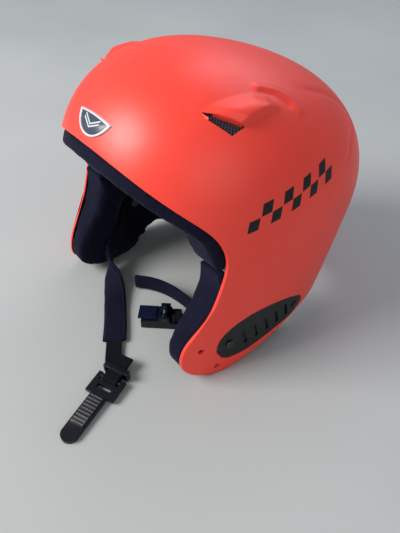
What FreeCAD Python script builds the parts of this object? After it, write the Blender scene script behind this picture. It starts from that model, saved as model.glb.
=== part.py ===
import FreeCAD, Part
import math
import os

# Hard-ear alpine race helmet, standing on a table: face towards -Y, crown up, wearer's left is +X.
# The helmet is drawn upright as worn, then tipped back to where it rests on its jaw tips and nape.
# Millimetres. Heights of the worn helmet are measured from the line through the jaw.

V = FreeCAD.Vector

# ---- shell form (worn position) -----------------------------------------------------------
half_width = 115.0          # widest half width of the shell
widest_z = 132.0            # height of the widest section
crown_z = 238.0             # top of the crown
front_reach = 134.5         # centre to brow, at the widest section
back_reach = 137.0          # centre to back of the head
centre_y = 9.0              # where the section's front and back halves meet
section_power = 2.24        # roundness of the plan section
crown_power = 2.3           # roundness of the crown
rim_narrowing = 4.9         # how far the sides come in at the bottom
nape_narrowing = 1.9        # how far the back comes in at the bottom
rest_tilt = 17.0            # degrees tipped back when it stands on a table

# ---- walls and layers -----------------------------------------------------------------------
shell_wall = 2.5
bond_gap = 0.1              # glue line between layers of one body
eps_wall = 19.5
pad_wall = 7.5
crown_pad_wall = 4.5
brow_proud = 9.0            # how far the brow pad shows below the shell's edge
cheek_proud = 2.0           # how far the cheek pad's front face bulges past the shell's edge
cheek_depth = 41.0          # widest point of the shell to the inner face of a cheek pad
cheek_inner_x = half_width - cheek_depth
cheek_top = 96.0
cheek_back = 61.0
cheek_run_out = 2.0         # how much less the cheek pad stands out under the temples
eps_back = 1.5              # how far the foam stops short of the shell's edge
layer_gap = 0.5             # between the foam or brow pad and the cheek pads

# ---- comfort pads (worn position) --------------------------------------------------------------
brow_pad_back = -26.0
brow_pad_top = 186.0
side_pad_span = (-25.0, 58.0)
side_pad_heights = (100.0, 168.0)
nape_pad_half = 62.0
nape_pad_front = 67.0
nape_pad_top = 112.0
back_pad_half = 55.0
back_pad_front = 60.0
back_pad_heights = (122.0, 186.0)
crown_pad_r = 46.0
crown_pad_y = 12.0
crown_pad_floor = 88.0      # below the crown, where the pad's outline starts
pad_dot_r = 9.0
pad_dot_wall = 0.1
pad_dot_ring = 30.0         # radius of the ring of dots under the crown pad

# ---- ear grille and strap anchor --------------------------------------------------------------
grille_in = 0.4             # plate sits this far below the shell's surface
grille_wall = 2.0
recess_floor = 4.5          # outer face of the recess floor, below the shell's surface
recess_wall = 2.5
grille_clear = 0.8          # gap round the plate
grille_slots = 5
grille_slot_first = (-14.0, 28.0)
grille_slot_step = (11.0, 4.6)
grille_slot_half = (1.6, 8.5)
grille_slot_lean = 35.0
grille_screws = ((-29.0, 25.0), (43.0, 48.0))
grille_screw_r = 2.2
grille_screw_clear = 0.1
screw_head_r = 3.4
screw_head_wall = 1.2
screw_slot_half = (1.6, 0.5)
screw_past = 3.0            # screw end past the recess floor
head_seat = 0.4             # flat heads stand this far off the curved wall at their middle
head_clear = 0.15           # round a screw head in its flat seat
head_gap = 0.05             # under a screw head
mesh_wall = 0.8
mesh_lift = 0.1             # mesh off the face under it
mesh_inset = 1.5
mesh_rivet_room = 6.0
vent_mesh_in = 0.9          # vent mesh below the shell's surface
anchor_y = 8.0              # strap rivet, worn position
anchor_z = 48.0
rivet_r = 2.5
rivet_clear = 0.05          # running fit of the webbing's eyelet on the rivet
rivet_head_r = 5.0
rivet_head_wall = 1.5
rivet_tail_r = 4.5
rivet_tail_wall = 1.2
rivet_play = 0.1            # washer and webbing along and round the rivet
washer_r = 7.0
washer_wall = 1.0
anchor_step = 1.3           # washer and play between the ear padding and the webbing
ear_pad_wall = 3.5          # thin padding left in the ear pocket
pocket_r_deep = 15.0
pocket_r_wide = 42.0
ear_r_deep = 14.0
ear_r_wide = 24.0
ear_offset = (24.0, 8.0)    # middle of the ear's hollow from the strap rivet
pad_hole_clear = 0.5        # round the rivet and the grille screws in a cheek pad
boss_clear = 0.3            # round the recess in a cheek pad

# ---- chin guard threads ---------------------------------------------------------------------
guard_thread_r = 2.5
guard_nut_r = 4.5
guard_nut_length = 8.0
guard_nut_seat = 1.8        # flat nut face behind the curved wall
guard_nut_room = 3.0        # space in the pad for the screw's end
guard_hole_clear = 0.3
guard_points = ((-53.0, 19.0), (-32.0, -1.0))

# ---- badge and side marking -----------------------------------------------------------------
badge_half = 20.0
badge_top = 177.0
badge_arch = 1.5            # rise of the badge's top edge
badge_height = 13.5
badge_waist = (14.0, 8.5)   # half width and depth of the badge part way down
badge_wall = 1.6
decal_wall = 0.3
decal_corners = ((-50.0, 131.0), (-58.0, 148.0), (22.0, 191.0), (30.0, 174.0))

# ---- straps ---------------------------------------------------------------------------------
webbing_width = 14.5
webbing_thick = 1.8
tail_thick = 2.6
tail_steps = ((5.5, 2.6), (13.0, 3.2), (24.0, 3.6))
keeper_half = (2.5, 12.0)   # half length and half width
keeper_wall = 1.6
keeper_heights = (-4.6, 5.4)
keeper_step = (9.0, 0.6)    # behind and above the tongue's bar
sleeve_width = 23.0
sleeve_thick = 5.0
flap_width = 18.0
flap_thick = 5.0
bar_r = 2.0
eye_clear = 0.1
eye_r = bar_r + eye_clear + webbing_thick

# ---- ladder tongue and ratchet ----------------------------------------------------------------
tongue_width = 15.0
tongue_thick = 3.6
ladder_length = 46.0
tooth_pitch = 3.2
tooth_height = 1.4
head_width = 27.0
eye_side_clear = 2.2        # room each side of the webbing's eye, in the tongue's head
head_length = 13.0
tongue_slot = (3.5, 3.6, 7.0)   # wall before the slot, its length and its half width
ladder_overlap = 1.0
eye_end_clear = 0.5         # webbing's eye to the solid part of the tongue's head
bar_cover = 1.0             # plastic round the bar's ends
tooth_margin = 1.5          # plain strip each side of the teeth
ratchet_length = 34.0
ratchet_wall = 2.0
channel_side_clear = 0.6
channel_clear = 0.6
floor_wall = 2.0
roof_wall = 1.5
roof_length = 5.0
ear_half = 4.5              # half length of the ears that carry the lever pin
ear_cover = 3.0
pawl_bite = 0.8
lever_wall = 2.2
lever_pin_r = 1.5
lever_pin_clear = 0.05
lever_side_clear = 0.35
lever_low_clear = 0.5
lever_hub_r = 2.9
lever_tab = (8.0, 9.0, 2.0, 4.2)    # thumb tab: back and forward of the tip, low and high above the channel
pawl_step = 8.0             # pin to pawl
pawl_length = 3.5
pawl_width = 10.0
spring_wire_r = 0.4
spring_turns = 5
spring_pitch = 0.9
spring_clear = 0.1          # between the coil and the pin
spring_gap_half = 3.2       # half width of the lever's cut-out for the spring

big = 400.0                 # longer than the helmet, for cutting tools


def clamp(value, low, high):
    return max(low, min(high, value))


def reaches(z, inset):
    # half width, front reach and back reach of the shell's section at height z
    rise = clamp((z - widest_z) / (crown_z - inset - widest_z), 0.0, 1.0)
    scale = (1.0 - rise ** crown_power) ** (1.0 / crown_power)
    drop = clamp((widest_z - z) / widest_z, 0.0, 1.5)
    width = (half_width - inset) * scale - rim_narrowing * drop ** 2.3
    front = (front_reach - inset) * scale
    back = (back_reach - inset) * scale - nape_narrowing * drop ** 2
    return width, front, back


def section(z, inset):
    # one closed smooth curve round the head
    width, front, back = reaches(z, inset)
    points = []
    count = 28
    for step in range(count):
        turn = 2 * math.pi * step / count
        across = math.sin(turn)
        along = -math.cos(turn)
        x = width * math.copysign(abs(across) ** (2 / section_power), across)
        reach = front if along < 0 else back
        y = centre_y + reach * math.copysign(abs(along) ** (2 / section_power), along)
        points.append(V(x, y, z))
    curve = Part.BSplineCurve()
    curve.interpolate(Points=points, PeriodicFlag=True)
    return Part.Wire([curve.toShape()])


form_store = {}


def form(inset):
    # the whole head form, moved in by inset (negative is outwards)
    key = round(inset, 3)
    if key not in form_store:
        heights = [-24.0, 0.0, 30.0, 60.0, 90.0, 112.0, widest_z]
        for step in range(1, 9):
            angle = math.radians(step * 10.0)
            heights.append(widest_z + (crown_z - inset - widest_z) * math.sin(angle) ** (2 / crown_power))
        last = math.radians(87.0)
        heights.append(widest_z + (crown_z - inset - widest_z) * math.sin(last) ** (2 / crown_power))
        form_store[key] = Part.makeLoft([section(z, inset) for z in heights], True, False)
    return form_store[key]


def layer(outer, inner):
    return form(outer).cut(form(inner))


# the side view of the shell's edge: face opening from the brow down to the jaw, then the lower rim
opening = ((-123.2, 157.1), (-113.0, 150.0), (-89.8, 137.1), (-68.0, 124.0), (-57.0, 108.0),
           (-54.3, 84.2), (-57.1, 51.4), (-66.6, 18.1))
rim = ((-62.0, -2.0), (-39.3, -10.7), (0.3, 3.3), (30.0, 23.5), (59.7, 42.2), (100.0, 51.0), (148.0, 44.3))


def moved_edge(proud):
    # the edge moved outwards; proud(y, z) gives how far at each point
    points = list(opening) + list(rim)
    result = []
    for index, (y, z) in enumerate(points):
        before = points[max(index - 1, 0)]
        after = points[min(index + 1, len(points) - 1)]
        ty = after[0] - before[0]
        tz = after[1] - before[1]
        length = math.hypot(ty, tz)
        shift = proud(y, z)
        result.append((y + shift * tz / length, z - shift * ty / length))
    return result


def side_prism(points, closed_by, low_x=-big, high_x=big):
    # a prism along X whose outline is a smooth edge closed by straight runs
    curve = Part.BSplineCurve()
    curve.interpolate(Points=[V(low_x, y, z) for y, z in points])
    corners = [V(low_x, y, z) for y, z in [points[-1]] + list(closed_by) + [points[0]]]
    edges = [curve.toShape()]
    for start, end in zip(corners, corners[1:]):
        edges.append(Part.LineSegment(start, end).toShape())
    return Part.Face(Part.Wire(edges)).extrude(V(high_x - low_x, 0, 0))


def kept_side(proud):
    # everything behind the face opening and above the rim
    edge = moved_edge(proud)
    first = (-200.0, edge[0][1] + 55.0)
    return side_prism(edge, ((220.0, edge[-1][1] - 8.0), (220.0, 330.0), (-200.0, 330.0), first))


def ring_prism(points, low_x=0.0, high_x=big):
    # a prism along X over a smooth closed outline
    curve = Part.BSplineCurve()
    curve.interpolate(Points=[V(low_x, y, z) for y, z in points], PeriodicFlag=True)
    return Part.Face(Part.Wire([curve.toShape()])).extrude(V(high_x - low_x, 0, 0))


def box(x0, x1, y0, y1, z0, z1):
    return Part.makeBox(x1 - x0, y1 - y0, z1 - z0, V(x0, y0, z0))


def rod(radius, start, end):
    direction = end.sub(start)
    return Part.makeCylinder(radius, direction.Length, start, direction)


def cross_rod(radius, y, z, low_x, high_x):
    return rod(radius, V(low_x, y, z), V(high_x, y, z))


def mirrored(shape):
    return shape.mirror(V(0, 0, 0), V(1, 0, 0))


def worn_to_rest(shape):
    # tip the worn helmet back and set it down on the table
    result = shape.copy()
    result.rotate(V(0, 0, 0), V(1, 0, 0), -rest_tilt)
    result.translate(V(0, 0, rest_drop))
    return result


def rest_point(x, y, z):
    turn = math.radians(rest_tilt)
    rest_z = z * math.cos(turn) - y * math.sin(turn) + rest_drop
    return V(x, y * math.cos(turn) + z * math.sin(turn), rest_z)


def save(name, shape):
    solids = shape.Solids
    result = solids[0] if len(solids) == 1 else Part.makeCompound(solids)
    result.exportStep("parts/" + name + ".step")
    if not result.isValid() or not solids:
        print("CHECK", name)
    print(name, len(solids), round(result.Volume, 1))
    return result


# ---- ear grille outline ------------------------------------------------------------------------
grille_outline = ((-40.5, 27.0), (-37.0, 14.0), (-27.0, 8.0), (-9.0, 9.8), (12.9, 19.7), (37.0, 31.8),
                  (52.0, 41.5), (53.5, 50.0), (37.0, 60.5), (13.2, 62.0), (-14.3, 56.5), (-33.5, 43.0))
grille_centre = (5.0, 36.0)


def grille_ring(grow):
    # the oval moved outwards by grow
    result = []
    for y, z in grille_outline:
        dy = y - grille_centre[0]
        dz = z - grille_centre[1]
        reach = math.hypot(dy, dz)
        result.append((y + grow * dy / reach, z + grow * dz / reach))
    return result


# ---- vent hood (worn position) ------------------------------------------------------------------
vent_dir = V(0.58, -0.425, 0.696)
vent_start = 130.0          # along vent_dir, under the wall
vent_run = 170.0
hood_rise = 5.0
hood_wall = 2.2
hood_outline = (V(60.6, -78.1, 202.3), V(60.7, -68.0, 209.0), V(65.1, -41.5, 217.9), V(72.0, -26.0, 216.0),
                V(81.0, -20.0, 212.0), V(82.0, -36.0, 207.0), V(81.9, -49.6, 201.8))
pocket_outline = (V(65.0, -78.0, 199.0), V(65.0, -70.0, 205.5), V(77.0, -50.0, 206.0), V(82.5, -53.0, 199.0),
                  V(82.0, -64.0, 193.5), V(72.0, -73.5, 196.0))


def vent_prism(points):
    # a prism along the vent's own direction
    direction = V(vent_dir)
    direction.normalize()
    flat = [point - direction * (point.dot(direction) - vent_start) for point in points]
    return Part.Face(Part.makePolygon(flat + [flat[0]])).extrude(direction * vent_run)


# ---- resting place -------------------------------------------------------------------------------
def lowest_rim():
    # height of the lowest point of the rim once the helmet is tipped back
    curve = Part.BSplineCurve()
    curve.interpolate(Points=[V(0, y, z) for y, z in list(opening) + list(rim)])
    turn = math.radians(rest_tilt)
    samples = curve.discretize(400)
    return min(point.z * math.cos(turn) - point.y * math.sin(turn) for point in samples)


rest_drop = -lowest_rim()


def side_x(y, z, inset):
    # half width of the form at one place
    width, front, back = reaches(z, inset)
    reach = front if y < centre_y else back
    return width * (1.0 - (abs(y - centre_y) / reach) ** section_power) ** (1.0 / section_power)


# ---- layers, from the outside in --------------------------------------------------------------------
recess_back = recess_floor + recess_wall
eps_out = shell_wall + bond_gap
eps_in = eps_out + eps_wall
pad_out = eps_in + bond_gap
pad_in = pad_out + pad_wall


def flush(y, z):
    return 0.0


def foam_edge(y, z):
    return -eps_back


def brow_edge(y, z):
    return brow_proud if z > 90.0 and y < 0 else 1.0


def cheek_edge(y, z):
    if z > 90.0 and y < 0:
        return brow_proud - cheek_run_out
    return cheek_proud if y < -40.0 and z > -5.0 else -0.5


def vent_pair(outer, inner, outline):
    one = layer(outer, inner).common(vent_prism(outline))
    return one.fuse(mirrored(one))


def both(shape):
    return shape.fuse(mirrored(shape))


def make_shell():
    body = layer(0.0, shell_wall).common(kept_side(flush))
    # behind each ear the wall steps in to a floor that carries the grille and the strap rivet
    boss = layer(shell_wall / 2, recess_back).common(ring_prism(grille_ring(recess_wall)))
    body = body.fuse(both(boss))
    recess = layer(-1.0, recess_floor).common(ring_prism(grille_ring(0.0)))
    body = body.cut(both(recess)).cut(both(sound_hole))
    body = body.fuse(vent_pair(-hood_rise, shell_wall / 2, hood_outline))
    body = body.cut(vent_pair(-hood_rise + hood_wall, shell_wall + 1.0, pocket_outline))
    for y, z in guard_points:
        body = body.cut(cross_rod(guard_thread_r + guard_hole_clear, y, z, -big, big))
    body = body.cut(cross_rod(rivet_r, anchor_y, anchor_z, -big, big))
    for y, z in grille_screws:
        body = body.cut(cross_rod(grille_screw_r, y, z, -big, big))
    return body


sound_outline = ((14.0, 38.0), (24.0, 40.0), (34.0, 44.0), (40.0, 50.0), (30.0, 56.0), (18.0, 57.0))
sound_hole = ring_prism(sound_outline)
cheek_zone = box(-big, big, -big, cheek_back + layer_gap, -big, cheek_top + layer_gap)


def make_eps():
    foam = layer(eps_out, eps_in).common(kept_side(foam_edge)).cut(cheek_zone)
    return foam.cut(vent_pair(eps_out - 1.0, eps_in + 1.0, pocket_outline))


def make_brow_pad():
    front = box(-big, big, -big, brow_pad_back, cheek_top + layer_gap, brow_pad_top)
    inside = layer(pad_out, pad_in).common(kept_side(foam_edge))
    lip = layer(eps_out, pad_in).common(kept_side(brow_edge)).cut(kept_side(foam_edge))
    return inside.fuse(lip).common(front)


def make_side_pad():
    return layer(pad_out, pad_in).common(box(0, big, *side_pad_span, *side_pad_heights))


def make_nape_pad():
    low = layer(pad_out, pad_in).common(kept_side(foam_edge))
    return low.common(box(-nape_pad_half, nape_pad_half, nape_pad_front, big, 0.0, nape_pad_top))


def upright_rod(radius, x, y):
    # a column through the crown
    return rod(radius, V(x, y, crown_z - crown_pad_floor), V(x, y, crown_z + crown_pad_floor))


def make_back_pad():
    room = box(-back_pad_half, back_pad_half, back_pad_front, big, *back_pad_heights)
    return layer(pad_out, pad_in).common(room)


def make_crown_pad():
    column = upright_rod(crown_pad_r, 0, crown_pad_y)
    return layer(pad_out, pad_out + crown_pad_wall).common(column)


def make_cheek_pad():
    pad = form(eps_out).common(kept_side(cheek_edge))
    pad = pad.common(box(cheek_inner_x, big, -big, cheek_back, -big, cheek_top))
    boss_room = ring_prism(grille_ring(recess_wall + boss_clear))
    pad = pad.cut(layer(0.0, recess_back + boss_clear).common(boss_room))
    deep_x = side_x(anchor_y, anchor_z, recess_back + ear_pad_wall)
    wide_x = cheek_inner_x - 1.0
    start = V(wide_x, anchor_y, anchor_z)
    pocket = Part.makeCone(pocket_r_wide, pocket_r_deep, deep_x - wide_x, start, V(1, 0, 0))
    ear_start = V(wide_x, anchor_y + ear_offset[0], anchor_z + ear_offset[1])
    ear = Part.makeCone(ear_r_wide, ear_r_deep, deep_x - wide_x, ear_start, V(1, 0, 0))
    pad = pad.cut(pocket).cut(ear)
    pad = pad.cut(cross_rod(rivet_r + pad_hole_clear, anchor_y, anchor_z, 0, big))
    for y, z in guard_points:
        depth = side_x(y, z, eps_out) - guard_nut_seat - guard_nut_length - guard_nut_room
        pad = pad.cut(cross_rod(guard_nut_r + guard_hole_clear, y, z, depth, big))
    for y, z in grille_screws:
        depth = side_x(y, z, recess_back) - screw_past - 2 * pad_hole_clear
        pad = pad.cut(cross_rod(grille_screw_r + pad_hole_clear, y, z, depth, big))
    return pad


def make_grille():
    plate = layer(grille_in, grille_in + grille_wall).common(ring_prism(grille_ring(-grille_clear)))
    across, tall = grille_slot_half
    for index in range(grille_slots):
        y = grille_slot_first[0] + index * grille_slot_step[0]
        z = grille_slot_first[1] + index * grille_slot_step[1]
        slot = box(0, big, -across, across, -tall, tall)
        slot.rotate(V(0, 0, 0), V(1, 0, 0), grille_slot_lean)
        slot.translate(V(0, y, z))
        plate = plate.cut(slot)
    for y, z in grille_screws:
        seat_x = side_x(y, z, grille_in) + head_seat
        plate = plate.cut(cross_rod(grille_screw_r, y, z, 0, big))
        plate = plate.cut(cross_rod(screw_head_r + head_clear, y, z, seat_x - head_gap, big))
    return plate


def make_grille_screws():
    screws = []
    for y, z in grille_screws:
        face = side_x(y, z, grille_in) + head_seat
        head = cross_rod(screw_head_r, y, z, face, face + screw_head_wall)
        wide, tall = screw_slot_half
        slot = box(face + screw_head_wall / 2, face + big, y - wide, y + wide, z - tall, z + tall)
        stem_end = side_x(y, z, recess_back) - screw_past
        stem = cross_rod(grille_screw_r - grille_screw_clear, y, z, stem_end, face)
        screws.append(head.cut(slot).fuse(stem))
    return Part.makeCompound(screws)


def make_ear_mesh():
    low = recess_floor - mesh_lift
    sheet = layer(low - mesh_wall, low).common(ring_prism(grille_ring(-mesh_inset)))
    sheet = sheet.cut(cross_rod(mesh_rivet_room, anchor_y, anchor_z, 0, big))
    for y, z in grille_screws:
        sheet = sheet.cut(cross_rod(grille_screw_r, y, z, 0, big))
    return sheet


def make_vent_mesh():
    return layer(vent_mesh_in, vent_mesh_in + mesh_wall).common(vent_prism(pocket_outline))


def make_badge():
    # a shield with an arched top edge
    left_end = V(badge_half, 0, badge_top)
    right_end = V(-badge_half, 0, badge_top)
    foot = V(0, 0, badge_top - badge_height)
    waist, down = badge_waist
    edges = [Part.Arc(right_end, V(0, 0, badge_top + badge_arch), left_end).toShape()]
    edges.append(Part.Arc(left_end, V(waist, 0, badge_top - down), foot).toShape())
    edges.append(Part.Arc(foot, V(-waist, 0, badge_top - down), right_end).toShape())
    shield = Part.Face(Part.Wire(edges)).extrude(V(0, -big, 0))
    return layer(-badge_wall, 0.0).common(shield)


def make_decal():
    corners = [V(0, y, z) for y, z in decal_corners]
    stripe = Part.Face(Part.makePolygon(corners + [corners[0]])).extrude(V(big, 0, 0))
    return layer(-decal_wall, 0.0).common(stripe)


def make_guard_nuts():
    nuts = []
    for y, z in guard_points:
        face = side_x(y, z, eps_out) - guard_nut_seat
        nut = cross_rod(guard_nut_r, y, z, face - guard_nut_length, face)
        nuts.append(nut.cut(cross_rod(guard_thread_r, y, z, 0, big)))
    return Part.makeCompound(nuts)


def make_rivet():
    outer = side_x(anchor_y, anchor_z, recess_floor) + head_seat
    inner = anchor_x - webbing_thick - 2 * rivet_play
    head = cross_rod(rivet_head_r, anchor_y, anchor_z, outer, outer + rivet_head_wall)
    stem = cross_rod(rivet_r, anchor_y, anchor_z, inner, outer)
    tail = cross_rod(rivet_tail_r, anchor_y, anchor_z, inner - rivet_tail_wall, inner)
    return head.fuse(stem).fuse(tail)


def make_washer():
    low = anchor_x + rivet_play
    ring = cross_rod(washer_r, anchor_y, anchor_z, low, low + washer_wall)
    return ring.cut(cross_rod(rivet_r + rivet_play, anchor_y, anchor_z, 0, big))


def make_pad_dots():
    # hook-and-loop dots that hold the crown pad to the foam
    dots = []
    for angle in range(0, 360, 90):
        turn = math.radians(angle + 45)
        x = pad_dot_ring * math.sin(turn)
        y = crown_pad_y + pad_dot_ring * math.cos(turn)
        dots.append(upright_rod(pad_dot_r, x, y))
    slab = layer(pad_out - pad_dot_wall, pad_out)
    return Part.makeCompound([solid for dot in dots for solid in slab.common(dot).Solids])


# ---- straps (resting position) ------------------------------------------------------------------------
anchor_x = side_x(anchor_y, anchor_z, recess_back + ear_pad_wall) - anchor_step
anchor = rest_point(0, anchor_y, anchor_z)
web_x = anchor_x - webbing_thick / 2


def band(stations, width, thick):
    # a flat strap through stations of (centre, side direction)
    wires = []
    for index, (centre, side) in enumerate(stations):
        before = stations[max(index - 1, 0)][0]
        after = stations[min(index + 1, len(stations) - 1)][0]
        along = (after - before).normalize()
        across = (side - along * side.dot(along)).normalize()
        up = along.cross(across)
        corners = []
        for a, b in ((-1, -1), (1, -1), (1, 1), (-1, 1)):
            corners.append(centre + across * (a * width / 2) + up * (b * thick / 2))
        wires.append(Part.makePolygon(corners + [corners[0]]))
    return Part.makeLoft(wires, True, True)


def strap_start(side, along):
    # from the rivet's eyelet, up the slope of the ear pocket and onto the pad's inner face
    along = V(0, along[0], along[1]).normalize()
    across = V(1, 0, 0).cross(along)
    ramp_x = cheek_inner_x - strap_lead
    return [(V(side * web_x, anchor.y, anchor.z) - along * 8.0, across),
            (V(side * web_x, anchor.y, anchor.z) + along * 9.5, across),
            (V(side * ramp_x, anchor.y, anchor.z) + along * 40.0, across)]


def placed(shape, origin, forward, left):
    # move a piece drawn at the origin, with its length along +X, to its place
    up = forward.cross(left)
    matrix = FreeCAD.Matrix(forward.x, left.x, up.x, origin.x, forward.y, left.y, up.y, origin.y,
                            forward.z, left.z, up.z, origin.z, 0, 0, 0, 1)
    return shape.transformShape(matrix, True) or shape


def bar_rod(radius, origin, axis, length):
    return rod(radius, origin - axis * (length / 2), origin + axis * (length / 2))


# where each strap lies on the table, as (centre, side direction) along its length
strap_lead = 3.0            # the flat strap ends this far before its bar's middle
tongue_bar = V(59.5, -108.5, 4.2)
tongue_forward = V(0.407, -0.913, -0.035).normalize()
tongue_side = V(0.913, 0.407, 0).normalize()
right_route = strap_start(-1, (-0.962, -0.272)) + [
    (V(-69.0, -28.0, 25.5), V(0, -0.35, 0.93)),
    (V(-60.0, -36.5, 16.5), V(0.35, -0.2, 0.9)),
    (V(-47.0, -42.5, 9.0), V(0.5, 0.6, 0.62)),
    (V(-31.0, -50.0, 5.4), V(0.45, 0.85, 0.2)),
    (V(-13.0, -60.5, 3.7), V(0.5, 0.86, 0)),
    (V(6.0, -72.0, 3.3), V(0.55, 0.83, 0)),
    (V(24.0, -84.0, 3.3), V(0.55, 0.83, 0)),
    (V(38.0, -93.5, 2.6), V(0.55, 0.83, 0)),
    (V(48.0, -99.5, 2.4), V(0.6, 0.8, 0)),
    (V(54.5, -102.8, 3.2), V(0.8, 0.6, 0))]
right_end = [(tongue_bar - tongue_forward * strap_lead, tongue_side)]

ratchet_bar = V(38.0, -22.0, 4.2)
ratchet_forward = V(-0.67, -0.743, 0).normalize()
ratchet_side = V(0.743, -0.67, 0).normalize()
left_route = strap_start(1, (-0.70, -0.71)) + [
    (V(66.0, -9.0, 12.0), V(0.2, 0.75, -0.6)),
    (V(57.0, -12.0, 7.0), V(0.1, 0.9, -0.3)),
    (V(48.0, -15.0, 4.5), V(-0.2, 0.95, 0))]
left_end = [(ratchet_bar - ratchet_forward * strap_lead, ratchet_side)]
flap_route = [
    (V(63.0, -4.0, 14.8), V(0.3, 0.3, 0.9)),
    (V(52.0, -5.5, 12.0), V(0.1, 0.2, 1)),
    (V(38.0, -5.5, 10.5), V(0, 0, 1)),
    (V(22.0, -6.0, 10.2), V(0, 0, 1)),
    (V(6.0, -9.0, 10.2), V(0, 0, 1)),
    (V(-8.0, -15.0, 10.2), V(0, 0, 1)),
    (V(-19.0, -23.0, 10.2), V(0, 0, 1)),
    (V(-26.0, -30.0, 10.2), V(0, 0, 1))]


def webbing(route, end, bar, axis, side):
    strap = band(route + end, webbing_width, webbing_thick)
    strap = strap.fuse(bar_rod(eye_r, bar, axis, webbing_width))
    strap = strap.cut(bar_rod(bar_r + eye_clear, bar, axis, 2 * head_width))
    hole = rod(rivet_r + rivet_clear, V(0, anchor.y, anchor.z), V(side * big, anchor.y, anchor.z))
    return strap.cut(hole)


def make_sleeve():
    wide = band(right_route[3:10], sleeve_width, sleeve_thick)
    return wide.cut(band(right_route[2:11], webbing_width, webbing_thick))


def make_tail():
    stations = []
    for back, height in tail_steps:
        stations.append((tongue_bar - tongue_forward * back + V(0, 0, height), tongue_side))
    return band(stations, webbing_width, tail_thick)


def make_keeper():
    centre = tongue_bar - tongue_forward * keeper_step[0] + V(0, 0, keeper_step[1])
    along, across = keeper_half
    low, high = keeper_heights
    outer = box(-along, along, -across, across, low, high)
    inner = box(-big, big, keeper_wall - across, across - keeper_wall, low + keeper_wall, high - keeper_wall)
    return placed(outer.cut(inner), centre, tongue_forward, tongue_side)


def make_chin_flap():
    return band(flap_route, flap_width, flap_thick)


# ---- ladder tongue ---------------------------------------------------------------------------------
def make_tongue():
    half = tongue_thick / 2
    half_head = head_width / 2
    half_room = webbing_width / 2 + eye_side_clear
    eye_room = eye_r + eye_end_clear
    head = box(-bar_r - bar_cover, eye_room + head_length, -half_head, half_head, -half, half)
    head = head.cut(box(-big, eye_room, -half_room, half_room, -big, big))
    before, slot_length, slot_half = tongue_slot
    slot_x = eye_room + before
    head = head.cut(box(slot_x, slot_x + slot_length, -slot_half, slot_half, -big, big))
    start = eye_room + head_length - ladder_overlap
    end_r = tongue_width / 2
    end_x = start + ladder_length - end_r
    ladder = box(start, end_x, -end_r, end_r, -half, half)
    ladder = ladder.fuse(rod(end_r, V(end_x, 0, -half), V(end_x, 0, half)))
    shape = head.fuse(ladder)
    tooth_half = end_r - tooth_margin
    for index in range(int((ladder_length - tongue_width) / tooth_pitch)):
        x = start + tooth_pitch * (index + 1)
        top = V(x, -tooth_half, half + tooth_height)
        profile = [V(x, -tooth_half, 0), V(x + tooth_pitch * 0.9, -tooth_half, half), top]
        tooth = Part.Face(Part.makePolygon(profile + [profile[0]])).extrude(V(0, 2 * tooth_half, 0))
        shape = shape.fuse(tooth)
    shape = shape.fuse(rod(bar_r, V(0, -half_room - 1.0, 0), V(0, half_room + 1.0, 0)))
    return placed(shape.removeSplitter(), tongue_bar, tongue_forward, tongue_side)


# ---- ratchet: origin at its webbing bar, length along +X ------------------------------------------------
channel_half = tongue_width / 2 + channel_side_clear
ratchet_half = channel_half + ratchet_wall
floor_low = -3.7
floor_top = floor_low + floor_wall
channel_top = floor_top + tongue_thick + tooth_height + channel_clear
pin_x = 12.0
pin_z = channel_top + 3.2
ratchet_start = 6.0
lever_tip = ratchet_length - 6.0


def make_housing():
    end = ratchet_length
    roof_top = channel_top + roof_wall
    body = box(ratchet_start, end, -ratchet_half, ratchet_half, floor_low, roof_top)
    body = body.cut(box(-big, big, -channel_half, channel_half, floor_top, big))
    for y0, y1 in ((-ratchet_half, -channel_half), (channel_half, ratchet_half)):
        ear = box(pin_x - ear_half, pin_x + ear_half, y0, y1, channel_top, pin_z + ear_cover)
        arm = box(-bar_r - bar_cover, ratchet_start + ratchet_wall, y0, y1, floor_low, bar_r + bar_cover)
        body = body.fuse(ear).fuse(arm)
    bar = rod(bar_r, V(0, -channel_half - 1.0, 0), V(0, channel_half + 1.0, 0))
    roof = box(end - roof_length, end, -ratchet_half, ratchet_half, channel_top, roof_top)
    body = body.fuse(bar).fuse(roof)
    body = body.cut(rod(lever_pin_r, V(pin_x, -big, pin_z), V(pin_x, big, pin_z)))
    return placed(body.removeSplitter(), ratchet_bar, ratchet_forward, ratchet_side)


def make_lever():
    half = channel_half - lever_side_clear
    low = channel_top + lever_low_clear
    plate = box(pin_x, lever_tip, -half, half, low, low + lever_wall)
    hub = rod(lever_hub_r, V(pin_x, -half, pin_z), V(pin_x, half, pin_z))
    back, forward, tab_low, tab_high = lever_tab
    tab_low += channel_top
    tab_high += channel_top
    tab = box(lever_tip - back, lever_tip + forward, -half, half, tab_low, tab_high)
    root = low + lever_wall / 2
    nose_x = pin_x + pawl_step + pawl_length
    reach = floor_top + tongue_thick + tooth_height - pawl_bite
    low_y = -pawl_width / 2
    outline = [V(pin_x + pawl_step, low_y, root), V(nose_x, low_y, root), V(nose_x, low_y, reach)]
    pawl = Part.Face(Part.makePolygon(outline + [outline[0]])).extrude(V(0, pawl_width, 0))
    shape = plate.fuse(hub).fuse(tab).fuse(pawl)
    gap = spring_gap_half
    shape = shape.cut(box(-big, pin_x + lever_hub_r + 1.0, -gap, gap, -big, big))
    shape = shape.cut(rod(lever_pin_r + lever_pin_clear, V(pin_x, -big, pin_z), V(pin_x, big, pin_z)))
    return placed(shape.removeSplitter(), ratchet_bar, ratchet_forward, ratchet_side)


def make_lever_pin():
    pin = rod(lever_pin_r, V(pin_x, -ratchet_half, pin_z), V(pin_x, ratchet_half, pin_z))
    return placed(pin, ratchet_bar, ratchet_forward, ratchet_side)


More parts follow.
